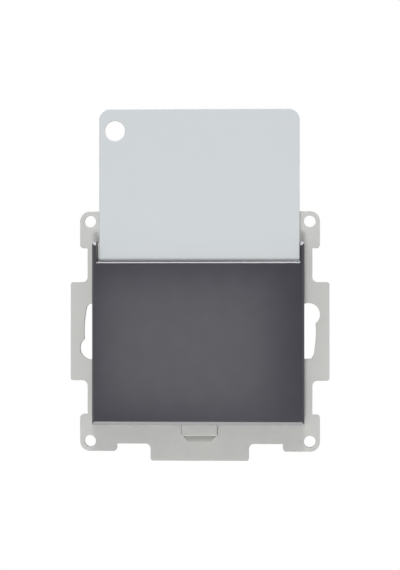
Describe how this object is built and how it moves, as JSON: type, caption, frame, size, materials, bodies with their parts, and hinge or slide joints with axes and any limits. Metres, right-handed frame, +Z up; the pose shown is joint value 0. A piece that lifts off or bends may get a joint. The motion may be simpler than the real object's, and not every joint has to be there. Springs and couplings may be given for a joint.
{
  "type": "hotel key card switch",
  "caption": "Flush-mounted hotel key card switch: grey mounting plate with keyhole slots, dark cover with a card notch, and a key card that works a changeover push switch behind the plate.",
  "frame": {"origin": "middle of the mounting plate, on the face that lies on the wall, at the centre of the corner screw holes", "axes": "+X to the right as seen from the room, +Y into the wall, +Z up"},
  "size_m": [0.071, 0.0339, 0.0956],
  "materials": {
    "plate_plastic": "matt moulded light grey",
    "cover_plastic": "fine satin anthracite",
    "guide_plastic": "matt moulded light grey",
    "card_plastic": "smooth pale grey card",
    "lever_plastic": "natural acetal",
    "base_plastic": "moulded light grey",
    "steel": "zinc plated",
    "brass": "stamped strip",
    "silver": "silver contact faces"
  },
  "bodies": {
    "housing": {"mounting_plate": "plate_plastic", "front_cover": "cover_plastic", "card_guide": "guide_plastic", "lever_pin": "steel", "plunger_spring": "steel", "switch_lid": "base_plastic", "switch_base": "base_plastic", "base_screws": "steel", "blade_pin": "steel", "blade_spring": "steel", "common_bracket": "brass", "make_bracket": "brass", "break_bracket": "brass", "fixed_contacts": "silver", "terminal_saddles": "steel", "terminal_screws": "steel"},
    "card": {"key_card": "card_plastic"},
    "lever": {"sensing_lever": "lever_plastic"},
    "plunger": {"plunger": "lever_plastic", "retaining_clip": "steel"},
    "blade": {"contact_blade": "brass", "blade_contacts": "silver"}
  },
  "joints": [
    {"name": "card_slide", "type": "slide", "parent": "housing", "child": "card", "axis": [0, 0, 1], "range_m": [0, 0.05]},
    {"name": "lever_swing", "type": "hinge", "parent": "housing", "child": "lever", "pos_m": [0, -0.0052, -0.0205], "axis": [1, 0, 0], "range_deg": [0, 7.2]},
    {"name": "plunger_slide", "type": "slide", "parent": "housing", "child": "plunger", "axis": [0, -1, 0], "range_m": [0, 0.00245], "deforming": ["plunger_spring"]},
    {"name": "blade_swing", "type": "hinge", "parent": "housing", "child": "blade", "pos_m": [0, 0.01034, -0.0126], "axis": [1, 0, 0], "range_deg": [0, 10.6], "deforming": ["blade_spring"]}
  ],
  "couplings": [
    {"joint": "lever_swing", "follows": "card_slide", "rad_per_m": 2.513},
    {"joint": "plunger_slide", "follows": "card_slide", "ratio": 0.0489},
    {"joint": "blade_swing", "follows": "card_slide", "rad_per_m": 3.7}
  ]
}
